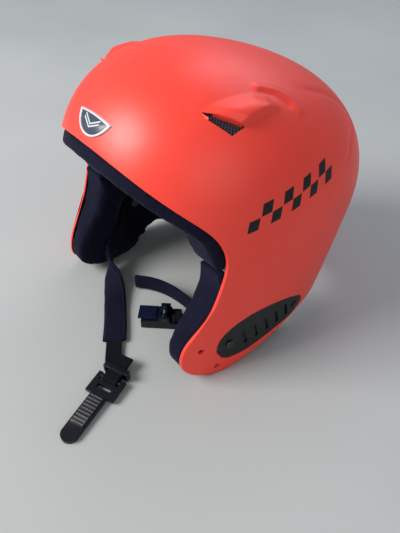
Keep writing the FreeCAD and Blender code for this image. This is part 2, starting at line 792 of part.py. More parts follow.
def make_lever_spring():
    # a close-wound coil round the pin, turned as one ribbed sleeve
    inner = pin_x + lever_pin_r + spring_clear
    outer = inner + 2 * spring_wire_r
    waist = outer - spring_wire_r / 2
    low = -spring_turns * spring_pitch / 2
    edges = [Part.LineSegment(V(inner, low, pin_z), V(waist, low, pin_z)).toShape()]
    for index in range(spring_turns):
        y = low + index * spring_pitch
        top = V(outer, y + spring_pitch / 2, pin_z)
        edges.append(Part.Arc(V(waist, y, pin_z), top, V(waist, y + spring_pitch, pin_z)).toShape())
    edges.append(Part.LineSegment(V(waist, -low, pin_z), V(inner, -low, pin_z)).toShape())
    edges.append(Part.LineSegment(V(inner, -low, pin_z), V(inner, low, pin_z)).toShape())
    spring = Part.Face(Part.Wire(edges)).revolve(V(pin_x, 0, pin_z), V(0, 1, 0), 360)
    return placed(spring, ratchet_bar, ratchet_forward, ratchet_side)


# ---- write the pieces ----------------------------------------------------------------------------------
whole = {
    "outer_shell": make_shell, "eps_liner": make_eps, "brow_pad": make_brow_pad,
    "crown_pad": make_crown_pad, "nape_pad": make_nape_pad, "back_pad": make_back_pad,
    "pad_dots": make_pad_dots, "front_badge": make_badge}
paired = {
    "side_pad": make_side_pad, "cheek_pad": make_cheek_pad, "ear_grille": make_grille,
    "grille_screws": make_grille_screws, "ear_mesh": make_ear_mesh, "vent_mesh": make_vent_mesh,
    "side_decal": make_decal, "guard_nuts": make_guard_nuts, "strap_rivet": make_rivet,
    "rivet_washer": make_washer}
resting = {
    "strap_sleeve": make_sleeve, "strap_tail": make_tail, "strap_keeper": make_keeper,
    "chin_flap": make_chin_flap, "ladder_tongue": make_tongue, "ratchet_housing": make_housing,
    "release_lever": make_lever, "lever_pin": make_lever_pin, "lever_spring": make_lever_spring}

os.makedirs("parts", exist_ok=True)
for name, maker in whole.items():
    save(name, worn_to_rest(maker()))
for name, maker in paired.items():
    piece = maker()
    save(name + "_left", worn_to_rest(piece))
    save(name + "_right", worn_to_rest(mirrored(piece)))
for name, maker in resting.items():
    save(name, maker())
save("strap_webbing_right", webbing(right_route, right_end, tongue_bar, tongue_side, -1))
save("strap_webbing_left", webbing(left_route, left_end, ratchet_bar, ratchet_side, 1))
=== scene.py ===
import math
import bpy
import bmesh
import numpy as np
from mathutils import Matrix, Vector


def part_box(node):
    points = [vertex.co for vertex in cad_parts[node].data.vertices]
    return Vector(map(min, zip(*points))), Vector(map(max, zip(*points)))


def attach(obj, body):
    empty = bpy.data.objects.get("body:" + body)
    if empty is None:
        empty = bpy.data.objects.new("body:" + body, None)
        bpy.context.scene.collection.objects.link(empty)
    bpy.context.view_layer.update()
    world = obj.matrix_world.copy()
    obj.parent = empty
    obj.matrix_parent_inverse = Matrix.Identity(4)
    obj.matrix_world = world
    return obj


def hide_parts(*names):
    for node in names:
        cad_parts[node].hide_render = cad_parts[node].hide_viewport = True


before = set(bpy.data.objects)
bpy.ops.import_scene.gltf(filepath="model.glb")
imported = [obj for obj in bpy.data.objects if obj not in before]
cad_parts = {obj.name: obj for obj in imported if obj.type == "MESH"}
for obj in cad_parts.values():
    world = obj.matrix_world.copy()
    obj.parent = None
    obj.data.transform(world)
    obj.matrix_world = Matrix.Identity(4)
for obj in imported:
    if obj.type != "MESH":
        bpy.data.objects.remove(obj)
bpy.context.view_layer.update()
mm = 0.001

# the head form, in millimetres, drawn upright and then tipped back onto its jaw tips and nape
headForm = {"halfWidth": 115.0, "widest": 132.0, "crown": 238.0, "front": 134.5, "back": 137.0, "middle": 9.0,
            "plan": 2.24, "dome": 2.3, "rimIn": 4.9, "napeIn": 1.9, "tilt": 17.0, "wall": 2.5}
faceEdge = [(-123.2, 157.1), (-113.0, 150.0), (-89.8, 137.1), (-68.0, 124.0), (-57.0, 108.0),
            (-54.3, 84.2), (-57.1, 51.4), (-66.6, 18.1)]
rimEdge = [(-62.0, -2.0), (-39.3, -10.7), (0.3, 3.3), (30.0, 23.5), (59.7, 42.2), (100.0, 51.0),
           (148.0, 44.3)]
heart = np.array([0.0, 9.0, 110.0])  # a point in the middle of the head that sees the whole shell


def formReach(z, inset):
    f = headForm
    rise = np.clip((z - f["widest"]) / (f["crown"] - inset - f["widest"]), 0.0, 1.0)
    scale = (1.0 - rise ** f["dome"]) ** (1.0 / f["dome"])
    drop = np.clip((f["widest"] - z) / f["widest"], 0.0, 1.5)
    width = (f["halfWidth"] - inset) * scale - f["rimIn"] * drop ** 2.3
    front = (f["front"] - inset) * scale
    back = (f["back"] - inset) * scale - f["napeIn"] * drop ** 2
    return np.maximum(width, 1e-6), np.maximum(front, 1e-6), np.maximum(back, 1e-6)


def isOutside(p, inset):
    width, front, back = formReach(p[:, 2], inset)
    y = p[:, 1] - headForm["middle"]
    reach = np.where(y < 0, front, back)
    size = (np.abs(p[:, 0]) / width) ** headForm["plan"] + (np.abs(y) / reach) ** headForm["plan"]
    return (size > 1.0) | (p[:, 2] > headForm["crown"] - inset)


def ontoForm(points, inset):
    # slides points along their line from the heart until they lie on the form
    p = np.asarray(points, float)
    ray = p - heart
    ray /= np.linalg.norm(ray, axis=1)[:, None]
    low = np.zeros(len(p)) + 20.0
    high = np.zeros(len(p)) + 220.0
    for step in range(34):
        mid = (low + high) / 2
        out = isOutside(heart + ray * mid[:, None], inset)
        high = np.where(out, mid, high)
        low = np.where(out, low, mid)
    return heart + ray * low[:, None]


def sideX(y, z, inset):
    width, front, back = formReach(z, inset)
    dy = y - headForm["middle"]
    reach = np.where(dy < 0, front, back)
    left = np.clip(1.0 - (np.abs(dy) / reach) ** headForm["plan"], 0.0, 1.0)
    return width * left ** (1.0 / headForm["plan"])


def runOf(line):
    # the length travelled at each point of a line
    return np.concatenate([[0], np.cumsum(np.linalg.norm(np.diff(line, axis=0), axis=1))])


def atRun(want, run, line):
    return np.stack([np.interp(want, run, line[:, i]) for i in range(line.shape[1])], 1)


def smoothThrough(points, count):
    # a natural cubic through the points, sampled evenly
    p = np.asarray(points, float)
    t = runOf(p)
    n = len(p)
    h = np.diff(t)
    a = np.eye(n)
    b = np.zeros((n, p.shape[1]))
    for i in range(1, n - 1):
        a[i, i - 1:i + 2] = (h[i - 1], 2 * (h[i - 1] + h[i]), h[i])
        b[i] = 6 * ((p[i + 1] - p[i]) / h[i] - (p[i] - p[i - 1]) / h[i - 1])
    bend = np.linalg.solve(a, b)

    def at(s):
        k = np.clip(np.searchsorted(t, s, side="right") - 1, 0, n - 2)
        u = (s - t[k])[:, None]
        v = (t[k + 1] - s)[:, None]
        hk = h[k][:, None]
        curve = (bend[k] * v ** 3 + bend[k + 1] * u ** 3) / (6 * hk)
        return curve + (p[k] / hk - bend[k] * hk / 6) * v + (p[k + 1] / hk - bend[k + 1] * hk / 6) * u

    fine = at(np.linspace(0, t[-1], 1500))
    run = runOf(fine)
    return atRun(np.linspace(0, run[-1], count), run, fine)


edgeLine = smoothThrough(faceEdge + rimEdge, 600)
tilt = math.radians(headForm["tilt"])
restDrop = -float(np.min(edgeLine[:, 1] * math.cos(tilt) - edgeLine[:, 0] * math.sin(tilt)))


def toRest(p):
    # from the worn position in millimetres to the table in metres
    p = np.asarray(p, float).reshape(-1, 3)
    y = p[:, 1] * math.cos(tilt) + p[:, 2] * math.sin(tilt)
    z = p[:, 2] * math.cos(tilt) - p[:, 1] * math.sin(tilt) + restDrop
    return np.stack([p[:, 0], y, z], 1) * mm


def toWorn(p):
    p = np.asarray(p, float).reshape(-1, 3) / mm
    z = p[:, 2] - restDrop
    return np.stack([p[:, 0], p[:, 1] * math.cos(tilt) - z * math.sin(tilt),
                     z * math.cos(tilt) + p[:, 1] * math.sin(tilt)], 1)


def linked(name, data):
    thing = bpy.data.objects.new(name, data)
    bpy.context.scene.collection.objects.link(thing)
    return thing


def newPiece(name, points, faces, material, smooth=True):
    mesh = bpy.data.meshes.new(name)
    mesh.from_pydata([tuple(p) for p in points], [], [tuple(int(i) for i in f) for f in faces])
    mesh.validate()
    mesh.materials.append(material)
    if smooth:
        mesh.shade_smooth()
    return linked(name, mesh)


def facesOutward(piece):
    bm = bmesh.new()
    bm.from_mesh(piece.data)
    bmesh.ops.recalc_face_normals(bm, faces=bm.faces)
    bm.to_mesh(piece.data)
    bm.free()
    return piece


def place(piece, body, slotName, *nodes):
    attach(piece, body)
    if nodes:
        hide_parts(*nodes)
    return piece


def useModifiers(piece):
    dg = bpy.context.evaluated_depsgraph_get()
    mesh = bpy.data.meshes.new_from_object(piece.evaluated_get(dg))
    old = piece.data
    piece.modifiers.clear()
    piece.data = mesh
    bpy.data.meshes.remove(old)
    return piece


def nodeMaterial(name, color, roughness, specular=0.5, metallic=0.0):
    material = bpy.data.materials.new(name)
    material.use_nodes = True
    shader = material.node_tree.nodes["Principled BSDF"]
    shader.inputs["Base Color"].default_value = (*color, 1.0)
    shader.inputs["Roughness"].default_value = roughness
    shader.inputs["Specular IOR Level"].default_value = specular
    shader.inputs["Metallic"].default_value = metallic
    return material, material.node_tree.nodes, material.node_tree.links, shader


def objectSpace(nodes):
    return nodes.new("ShaderNodeTexCoord").outputs["Object"]


def noiseAt(nodes, links, space, scale, detail=3.0, rough=0.5):
    noise = nodes.new("ShaderNodeTexNoise")
    noise.inputs["Scale"].default_value = scale
    noise.inputs["Detail"].default_value = detail
    noise.inputs["Roughness"].default_value = rough
    links.new(space, noise.inputs["Vector"])
    return noise.outputs["Fac"]


def rampBetween(nodes, links, value, low, high, colorA, colorB):
    ramp = nodes.new("ShaderNodeValToRGB")
    ramp.color_ramp.elements[0].position = low
    ramp.color_ramp.elements[1].position = high
    ramp.color_ramp.elements[0].color = (*colorA, 1.0)
    ramp.color_ramp.elements[1].color = (*colorB, 1.0)
    links.new(value, ramp.inputs["Fac"])
    return ramp.outputs["Color"]


def rangeTo(nodes, links, value, low, high):
    span = nodes.new("ShaderNodeMapRange")
    span.inputs["To Min"].default_value = low
    span.inputs["To Max"].default_value = high
    links.new(value, span.inputs["Value"])
    return span.outputs["Result"]


def bumpFrom(nodes, links, height, strength, distance, under=None):
    bump = nodes.new("ShaderNodeBump")
    bump.inputs["Strength"].default_value = strength
    bump.inputs["Distance"].default_value = distance
    links.new(height, bump.inputs["Height"])
    if under:
        links.new(under, bump.inputs["Normal"])
    return bump.outputs["Normal"]


def shade(color, k):
    return tuple(c * k for c in color)


def shellPaint():
    look = {"color": (0.97, 0.058, 0.034), "roughness": (0.36, 0.46)}
    material, nodes, links, shader = nodeMaterial("shellPaint", look["color"], 0.45, 0.5)
    space = objectSpace(nodes)
    cloudy = noiseAt(nodes, links, space, 14.0, 4.0, 0.6)
    tint = rampBetween(nodes, links, cloudy, 0.3, 0.75, shade(look["color"], 0.93), look["color"])
    links.new(tint, shader.inputs["Base Color"])
    uneven = noiseAt(nodes, links, space, 60.0, 5.0)
    links.new(rangeTo(nodes, links, uneven, *look["roughness"]), shader.inputs["Roughness"])
    peel = noiseAt(nodes, links, space, 420.0, 2.0)
    links.new(bumpFrom(nodes, links, peel, 0.06, 0.0006), shader.inputs["Normal"])
    return material


def plasticLook(name, color, roughness, grain=900.0, depth=0.15, specular=0.5, metallic=0.0):
    material, nodes, links, shader = nodeMaterial(name, color, roughness, specular, metallic)
    space = objectSpace(nodes)
    cloudy = noiseAt(nodes, links, space, 45.0, 4.0)
    tint = rampBetween(nodes, links, cloudy, 0.3, 0.7, shade(color, 0.8), shade(color, 1.25))
    links.new(tint, shader.inputs["Base Color"])
    uneven = noiseAt(nodes, links, space, 160.0, 3.0)
    links.new(rangeTo(nodes, links, uneven, roughness * 0.85, roughness * 1.15), shader.inputs["Roughness"])
    grains = noiseAt(nodes, links, space, grain, 2.0)
    links.new(bumpFrom(nodes, links, grains, depth, 0.0002), shader.inputs["Normal"])
    return material


def clothLook(name, color, weave=1500.0, fuzz=0.35, depth=0.35):
    material, nodes, links, shader = nodeMaterial(name, color, 0.9, 0.12)
    shader.inputs["Sheen Weight"].default_value = fuzz
    shader.inputs["Sheen Roughness"].default_value = 0.45
    shader.inputs["Sheen Tint"].default_value = (0.35, 0.4, 0.6, 1.0)
    space = objectSpace(nodes)
    threads = []
    for direction in ("X", "Y", "Z"):
        wave = nodes.new("ShaderNodeTexWave")
        wave.bands_direction = direction
        wave.inputs["Scale"].default_value = weave / 10
        wave.inputs["Distortion"].default_value = 1.5
        wave.inputs["Detail"].default_value = 1.0
        links.new(space, wave.inputs["Vector"])
        threads.append(wave.outputs["Fac"])
    cross = threads[0]
    for other in threads[1:]:
        mix = nodes.new("ShaderNodeMath")
        mix.operation = "MULTIPLY"
        links.new(cross, mix.inputs[0])
        links.new(other, mix.inputs[1])
        cross = mix.outputs["Value"]
    worn = noiseAt(nodes, links, space, 35.0, 5.0, 0.6)
    tint = rampBetween(nodes, links, worn, 0.25, 0.8, shade(color, 0.7), shade(color, 1.5))
    links.new(tint, shader.inputs["Base Color"])
    soft = bumpFrom(nodes, links, worn, 0.3, 0.0015)
    links.new(bumpFrom(nodes, links, cross, depth, 0.0004, soft), shader.inputs["Normal"])
    return material


paint = shellPaint()
linerCloth = clothLook("linerCloth", (0.0045, 0.005, 0.016), 1500.0, 0.10)
webCloth = clothLook("webCloth", (0.004, 0.0045, 0.007), 2200.0, 0.05, 0.5)
foamWhite = plasticLook("foamWhite", (0.30, 0.30, 0.29), 0.85, 500.0, 0.4, 0.2)
# black for the shell's dark inside, also used as painted shade in the vent mouth, grille recess and guard
# holes
innerBlackShade = plasticLook("innerBlackShade", (0.012, 0.012, 0.016), 0.7)
grillePlastic = plasticLook("grillePlastic", (0.007, 0.011, 0.0115), 0.5, 1100.0, 0.25, 0.3)
bucklePlastic = plasticLook("bucklePlastic", (0.005, 0.006, 0.010), 0.32, 900.0, 0.15, 0.32)
leverPlastic = plasticLook("leverPlastic", (0.006, 0.010, 0.028), 0.22, 900.0, 0.1, 0.5)
darkSteel = plasticLook("darkSteel", (0.06, 0.06, 0.065), 0.35, 600.0, 0.1, 0.5, 0.8)
threadGrey = plasticLook("threadGrey", (0.02, 0.021, 0.034), 0.7, 900.0, 0.2)
brassLook = plasticLook("brassLook", (0.55, 0.38, 0.16), 0.35, 600.0, 0.1, 0.5, 0.9)
decalBlack = plasticLook("decalBlack", (0.006, 0.006, 0.008), 0.4, 300.0, 0.05, 0.3)
badgeDark = plasticLook("badgeDark", (0.045, 0.065, 0.10), 0.2)
badgePale = plasticLook("badgePale", (0.62, 0.63, 0.66), 0.3)
meshWire = plasticLook("meshWire", (0.05, 0.05, 0.06), 0.4)


shellGrid = {"columns": 250, "rows": 150, "innerRows": 40, "cell": 2.2,
             # which part of the crown line each stretch of the edge joins, in degrees from straight ahead
             "edgeAt": (0, 3, 4, 5, 6, 7, 9, 10, 12, 14),
             "crownAt": (19.6, 42.0, 52.0, 64.0, 76.0, 87.0, 104.0, 122.0, 160.0, 205.4)}


def crownPoint(angle, inset):
    far = heart + 200.0 * np.stack([0 * angle, -np.cos(angle), np.sin(angle)], 1)
    return ontoForm(far, inset)


def ribs(columns, rows, inset):
    # hoops from the crown line down to the shell's edge, on the wearer's left
    keyPoints = np.array(faceEdge + rimEdge)[list(shellGrid["edgeAt"])]
    near = [int(np.argmin(np.hypot(*(edgeLine - key).T))) for key in keyPoints]
    index = np.arange(len(edgeLine))
    angleAll = np.interp(index, near, shellGrid["crownAt"])
    # columns spaced by the mean of crown angle and edge length
    share = (angleAll - angleAll[0]) / (angleAll[-1] - angleAll[0]) + np.linspace(0, 1, len(edgeLine))
    spots = np.interp(np.linspace(0, share[-1], columns), share, index)
    edge = atRun(spots, index, edgeLine)
    angle = np.radians(np.interp(spots, index, angleAll))
    crown = crownPoint(angle, inset)[:, 1:]
    grid = np.zeros((columns, rows, 3))
    v = 1 - np.cos(np.linspace(0, math.pi / 2, 240))
    for c in range(columns):
        line = crown[c] + (edge[c] - crown[c]) * v[:, None]
        x = sideX(line[:, 0], line[:, 1], inset)
        x[0] = 0.0
        path = np.column_stack([x, line])
        run = runOf(path)
        grid[c] = atRun(np.linspace(0, run[-1], rows), run, path)
    return grid


def wholeGrid(grid):
    # mirror the ribs to the other side, sharing the crown line
    other = grid[:, :0:-1].copy()
    other[:, :, 0] *= -1
    return np.concatenate([other, grid], 1)


def gridFaces(columns, rows, first=0, flip=False):
    faces = []
    for c in range(columns - 1):
        for r in range(rows - 1):
            a = first + c * rows + r
            quad = (a, a + 1, a + rows + 1, a + rows)
            faces.append(quad[::-1] if flip else quad)
    return faces


def segmentDistance(p, line):
    # distance from flat points to a run of straight segments, with the nearest point on it
    best = np.full(len(p), 1e9)
    nearest = np.zeros_like(p)
    for a, b in zip(line[:-1], line[1:]):
        ab = b - a
        u = np.clip(((p - a) @ ab) / (ab @ ab), 0, 1)[:, None]
        q = a + ab * u
        d = np.linalg.norm(p - q, axis=1)
        closer = d < best
        best[closer] = d[closer]
        nearest[closer] = q[closer]
    return best, nearest


def insideOutline(p, line):
    inside = np.zeros(len(p), bool)
    for a, b in zip(line[:-1], line[1:]):
        crosses = (a[1] > p[:, 1]) != (b[1] > p[:, 1])
        at = (b[0] - a[0]) * (p[:, 1] - a[1]) / (b[1] - a[1] + 1e-12) + a[0]
        inside ^= crosses & (p[:, 0] < at)
    return inside


def loopLine(points, count=90):
    # a smooth closed outline through a few points
    p = np.asarray(points, float)
    wrapped = np.concatenate([p[-3:], p, p[:4]])
    fine = smoothThrough(wrapped, 1400)
    start = int(np.argmin(np.linalg.norm(fine[:700] - p[0], axis=1)))
    after = start + 200 + int(np.argmin(np.linalg.norm(fine[start + 200:] - p[0], axis=1)))
    part = fine[start:after + 1]
    run = runOf(part)
    loop = atRun(np.linspace(0, run[-1], count + 1), run, part)
    loop[-1] = loop[0]
    return loop


# the vent hood, in millimetres on a flat laid against the shell: along its mouth, then up towards the crown
hood = {"tip": (60.6, -78.1, 202.3), "facing": (0.58, -0.425, 0.696), "mouthEnd": (81.9, -49.6, 201.8),
        "rise": 6.0, "nose": 0.42, "wallDepth": 7.0,
        "top": [(0, 0), (7.4, 8.4), (18, 16), (32, 24.3), (43, 26.5), (60, 22.6)],
        "side": [(60, 22.6), (35.6, 0), (23.7, -12)],
        "lip": [(0.5, -0.4), (10, -0.8), (20, -1.8), (31.2, -3.6)],
        "mouth": [(0.5, -0.4), (10, -0.8), (20, -1.8), (31.2, -3.6), (23.7, -12.2), (6.5, -5.6)],
        "ridge": [(37, 31), (50, 34), (62, 33), (71, 27)], "ridgeRise": 1.7, "ridgeWidth": 3.2,
        "groove": [(40, 29), (52, 30.5), (63, 27)], "grooveDepth": 1.0, "grooveWidth": 2.2}
crease = {"line": [(63.0, -2.0, 224.0), (66.8, 25.7, 223.1), (65.5, 46.6, 221.2), (66.7, 64.3, 215.9),
                   (70.0, 78.0, 208.0), (78.8, 74.8, 202.1), (92.3, 59.1, 193.8), (101.0, 49.9, 183.3),
                   (105.8, 41.3, 176.2)],
          "depth": 1.3, "width": 3.0}
ventOut = np.array(hood["facing"]) / np.linalg.norm(hood["facing"])
ventAlong = np.array(hood["mouthEnd"]) - np.array(hood["tip"])
ventAlong -= ventOut * (ventAlong @ ventOut)
ventAlong /= np.linalg.norm(ventAlong)
ventUp = np.cross(ventOut, ventAlong)


def ventFlat(worn):
    p = np.column_stack([np.abs(worn[:, 0]), worn[:, 1:]]) - np.array(hood["tip"])
    return np.stack([p @ ventAlong, p @ ventUp], 1)


def ease(value):
    u = np.clip(value, 0, 1)
    return u * u * (3 - 2 * u)


def asLine(points, closed=False):
    line = [np.array(p, float) for p in points]
    return line + [line[0]] if closed else line


def hoodHeight(worn):
    flat = ventFlat(worn)
    near = np.all((flat > (-12, -16)) & (flat < (84, 44)), axis=1) & (worn[:, 2] > 150)
    height = np.zeros(len(worn))
    p = flat[near]
    outline = asLine(hood["top"] + hood["side"][1:] + hood["mouth"][5:], True)
    within = insideOutline(p, outline)
    fromTop = segmentDistance(p, asLine(hood["top"]))[0]
    fromSide = segmentDistance(p, asLine(hood["side"]))[0]
    fromLip = segmentDistance(p, asLine(hood["lip"]))[0]
    rise = hood["rise"] * ease(fromTop / 15.0) ** 0.8 * ease(fromSide / 4.5)
    rise *= 1 - hood["nose"] * (1 - ease(fromLip / 5.5))
    fromRidge = segmentDistance(p, asLine(hood["ridge"]))[0]
    fromGroove = segmentDistance(p, asLine(hood["groove"]))[0]
    ridge = hood["ridgeRise"] * np.exp(-(fromRidge / hood["ridgeWidth"]) ** 2)
    groove = hood["grooveDepth"] * np.exp(-(fromGroove / hood["grooveWidth"]) ** 2)
    height[near] = np.where(within, rise, ridge - groove)
    return height


def creaseDepth(worn):
    p = np.column_stack([np.abs(worn[:, 0]), worn[:, 1:]])
    line = [np.array(q) for q in smoothThrough(crease["line"], 60)]
    distance = segmentDistance(p, line)[0]
    travel = np.linspace(0, 1, 60)
    far = np.array([int(np.argmin(np.linalg.norm(np.array(line) - q, axis=1))) for q in p[distance < 12]])
    fade = np.zeros(len(p))
    fade[distance < 12] = ease(travel[far] / 0.2) * ease((1 - travel[far]) / 0.25)
    return crease["depth"] * np.exp(-(distance / crease["width"]) ** 2) * fade


grille = {"outline": [(-40.5, 27.0), (-37.0, 14.0), (-27.0, 8.0), (-9.0, 9.8), (12.9, 19.7), (37.0, 31.8),
                      (52.0, 41.5), (53.5, 50.0), (37.0, 60.5), (13.2, 62.0), (-14.3, 56.5), (-33.5, 43.0)],
          "recess": 4.4}
guardHoles = {"places": [(-53.0, 19.0), (-32.0, -1.0)], "radius": 2.8, "depth": 2.6}


def circleLine(centre, radius, count=28):
    turn = np.linspace(0, 2 * math.pi, count + 1)
    return np.stack([centre[0] + radius * np.cos(turn), centre[1] + radius * np.sin(turn)], 1)


def sideFlat(worn):
    return worn[:, 1:3]


def openHole(bm, side, flatten, outline, refine):
    # refine the wall round an outline, pull the nearest corners onto it and remove what is inside
    cellSize = shellGrid["cell"]
    line = [np.array(q) for q in outline]
    low = np.min(line, axis=0) - 9
    high = np.max(line, axis=0) + 9

    def wornOf(verts):
        return np.array([v.co[:] for v in verts], float).reshape(-1, 3)

    def chosen():
        verts = [v for v in bm.verts if v.co.x * side > 8]
        worn = wornOf(verts)
        flat = flatten(worn)
        keep = np.all((flat > low) & (flat < high), axis=1) & isOutside(worn, 0.6)
        if flatten is ventFlat:
            keep &= worn[:, 2] > 150
        return [v for v, k in zip(verts, keep) if k]

    for level in range(refine):
        verts = chosen()
        flat = flatten(wornOf(verts))
        near = segmentDistance(flat, line)[0] < 5.0 / (level + 1)
        marked = set(v for v, n in zip(verts, near) if n)
        faces = [f for f in bm.faces if all(v in marked for v in f.verts)]
        edges = list({e for f in faces for e in f.edges})
        bmesh.ops.subdivide_edges(bm, edges=edges, cuts=1, use_grid_fill=True)
        cellSize /= 2
    verts = chosen()
    worn = wornOf(verts)
    flat = flatten(worn)
    distance, nearest = segmentDistance(flat, line)
    snap = distance < cellSize * 0.52
    moved = worn.copy()
    if flatten is ventFlat:
        shift = nearest - flat
        step = shift[:, :1] * ventAlong + shift[:, 1:] * ventUp
        step[:, 0] *= side
        moved[snap] += step[snap]
    else:
        moved[snap, 1:3] = nearest[snap]
    moved = ontoForm(moved, 0.0)
    if flatten is not ventFlat:
        moved[snap, 0] = side * sideX(moved[snap, 1], moved[snap, 2], 0.0)
    for v, p in zip(verts, moved):
        v.co = p
    marked = set(verts)
    faces = [f for f in bm.faces if all(v in marked for v in f.verts)]
    middle = np.array([f.calc_center_median()[:] for f in faces])
    gone = insideOutline(flatten(middle), line)
    bmesh.ops.delete(bm, geom=[f for f, g in zip(faces, gone) if g], context="FACES")
    border = [e for e in bm.edges if e.is_boundary and all(v in marked for v in e.verts)]
    flatEnds = flatten(np.array([e.verts[0].co[:] for e in border]))
    close = segmentDistance(flatEnds, line)[0] < 1.5
    return [e for e, c in zip(border, close) if c]


def wallIn(bm, border, direction, steps):
    # carry an opening's border inwards as a wall; steps are (depth, closing in)
    centre = np.mean([e.verts[0].co[:] for e in border], axis=0)
    edges = border
    before = 0.0
    for depth, closing in steps:
        made = bmesh.ops.extrude_edge_only(bm, edges=edges)["geom"]
        for v in [g for g in made if isinstance(g, bmesh.types.BMVert)]:
            toCentre = Vector(centre) - v.co
            toCentre -= direction * toCentre.dot(direction)
            v.co += direction * (depth - before) + toCentre.normalized() * closing
        edges = [g for g in made if isinstance(g, bmesh.types.BMEdge)]
        before = depth
    return edges


def makeShell():
    columns, rows, innerRows = shellGrid["columns"], shellGrid["rows"], shellGrid["innerRows"]
    outer = wholeGrid(ribs(columns, rows, 0.0))
    inner = wholeGrid(ribs(columns, innerRows, headForm["wall"]))
    outerPoints = ontoForm(outer.reshape(-1, 3), 0.0)
    innerPoints = ontoForm(inner.reshape(-1, 3), headForm["wall"])
    wide, wideInner = outer.shape[1], inner.shape[1]
    faces = gridFaces(columns, wide, 0, True) + gridFaces(columns, wideInner, len(outerPoints), False)
    points = [outerPoints, innerPoints]
    first = len(outerPoints)
    count = first + len(innerPoints)
    for side in (0, -1):
        # a rounded lip joins the two walls: one middle line pushed a little past the edge
        a = [c * wide + (wide - 1 if side else 0) for c in range(columns)]
        b = [first + c * wideInner + (wideInner - 1 if side else 0) for c in range(columns)]
        pa, pb = outerPoints[a], innerPoints[[i - first for i in b]]
        inward = outerPoints[[c * wide + (wide - 2 if side else 1) for c in range(columns)]]
        out = pa - inward
        out /= np.maximum(np.linalg.norm(out, axis=1), 1e-9)[:, None]
        points.append((pa + pb) / 2 + out * 0.5)
        m = list(range(count, count + columns))
        count += columns
        for c in range(columns - 1):
            for low, high in ((a, m), (m, b)):
                quad = (low[c], low[c + 1], high[c + 1], high[c])
                faces.append(quad if side == 0 else quad[::-1])
    mesh = bpy.data.meshes.new("outerShell")
    mesh.from_pydata([tuple(p) for p in np.concatenate(points)], [], faces)
    bm = bmesh.new()
    bm.from_mesh(mesh)
    bmesh.ops.remove_doubles(bm, verts=bm.verts, dist=0.03)
    bmesh.ops.dissolve_degenerate(bm, dist=0.01, edges=bm.edges)
    bmesh.ops.recalc_face_normals(bm, faces=bm.faces)
    borders = []
    for side in (1, -1):
        inwards = Vector((-side, 0, 0))
        oval = openHole(bm, side, sideFlat, loopLine(grille["outline"]), 1)
        edges = wallIn(bm, oval, inwards, ((0.25, 0.22), (1.0, 0.25), (grille["recess"], 0.1)))
        bmesh.ops.edgeloop_fill(bm, edges=edges)
        for spot in guardHoles["places"]:
            ring = openHole(bm, side, sideFlat, circleLine(spot, guardHoles["radius"]), 2)
            wallIn(bm, ring, inwards, ((0.3, 0.25), (guardHoles["depth"], 0.0)))
        mouth = openHole(bm, side, ventFlat, np.array(asLine(hood["mouth"], True)), 2)
        borders.append((side, mouth))
    bm.verts.ensure_lookup_table()
    bm.normal_update()
    worn = np.array([v.co[:] for v in bm.verts])
    skin = isOutside(worn, 0.8)
    lift = np.zeros(len(worn))
    lift[skin] = hoodHeight(worn[skin]) - creaseDepth(worn[skin])
    for v, h in zip(bm.verts, lift):
        if h:
            v.co += v.normal * h
    for side, mouth in borders:
        inwards = -Vector((ventOut[0] * side, ventOut[1], ventOut[2]))
        wallIn(bm, mouth, inwards, ((0.5, 0.35), (hood["wallDepth"], 0.0)))
    bmesh.ops.recalc_face_normals(bm, faces=bm.faces)
    # faces more than 2 mm inside the outer form take the black: the dark inner wall, and painted shade on the
    # vent mouth's walls, the grille recess floor and the guard holes' walls
    middles = np.array([f.calc_center_median()[:] for f in bm.faces])
    for f, out in zip(bm.faces, isOutside(middles, 2.0)):
        f.material_index = 0 if out else 1
    for v, p in zip(bm.verts, toRest([v.co[:] for v in bm.verts])):
        v.co = (p[0], p[1], max(p[2], 0.0))
    bm.to_mesh(mesh)
    bm.free()
    mesh.materials.append(paint)
    mesh.materials.append(innerBlackShade)
    mesh.shade_smooth()
    return linked("outerShell", mesh)


print("shell")
shell = makeShell()
place(shell, "helmet", "shell_paint", "outer_shell")


def coordsOf(piece):
    co = np.zeros(len(piece.data.vertices) * 3)
    piece.data.vertices.foreach_get("co", co)
    return co.reshape(-1, 3)


def setCoords(piece, co):
    piece.data.vertices.foreach_set("co", np.asarray(co, float).reshape(-1))
    piece.data.update()


def copyOf(nodeName, name, material):
    piece = linked(name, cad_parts[nodeName].data.copy())
    piece.data.materials.clear()
    piece.data.materials.append(material)
    return piece


def normalsOf(piece):
    n = np.zeros(len(piece.data.vertices) * 3)
    piece.data.vertices.foreach_get("normal", n)
    return n.reshape(-1, 3)


swelling = {"frames": 20, "stretch": 20.0, "bend": 1.5}


def swellUp(piece, pressure, cap):
    # cloth under a little air pressure; no point may travel further than the cap
    rest = coordsOf(piece)
    cloth = piece.modifiers.new("cloth", "CLOTH")
    cloth.settings.use_pressure = True
    cloth.settings.uniform_pressure_force = pressure
    cloth.settings.effector_weights.gravity = 0.0
    cloth.settings.tension_stiffness = swelling["stretch"]
    cloth.settings.compression_stiffness = swelling["stretch"]
    cloth.settings.bending_stiffness = swelling["bend"]
    cloth.point_cache.frame_start = 1
    cloth.point_cache.frame_end = swelling["frames"]
    for now in range(1, swelling["frames"] + 1):
        bpy.context.scene.frame_set(now)
    dg = bpy.context.evaluated_depsgraph_get()
    done = piece.evaluated_get(dg)
    mesh = done.to_mesh()
    co = np.zeros(len(mesh.vertices) * 3)
    mesh.vertices.foreach_get("co", co)
    done.to_mesh_clear()
    piece.modifiers.clear()
    bpy.context.scene.frame_set(1)
    move = co.reshape(-1, 3) - rest
    far = np.linalg.norm(move, axis=1)
    setCoords(piece, rest + move * np.minimum(1.0, cap / np.maximum(far, 1e-9))[:, None])


def keepInside(piece, inset):
    # nothing soft may come through the wall around it
    worn = toWorn(coordsOf(piece))
    out = isOutside(worn, inset)
    if out.any():
        worn[out] = ontoForm(worn[out], inset)
    setCoords(piece, toRest(worn))


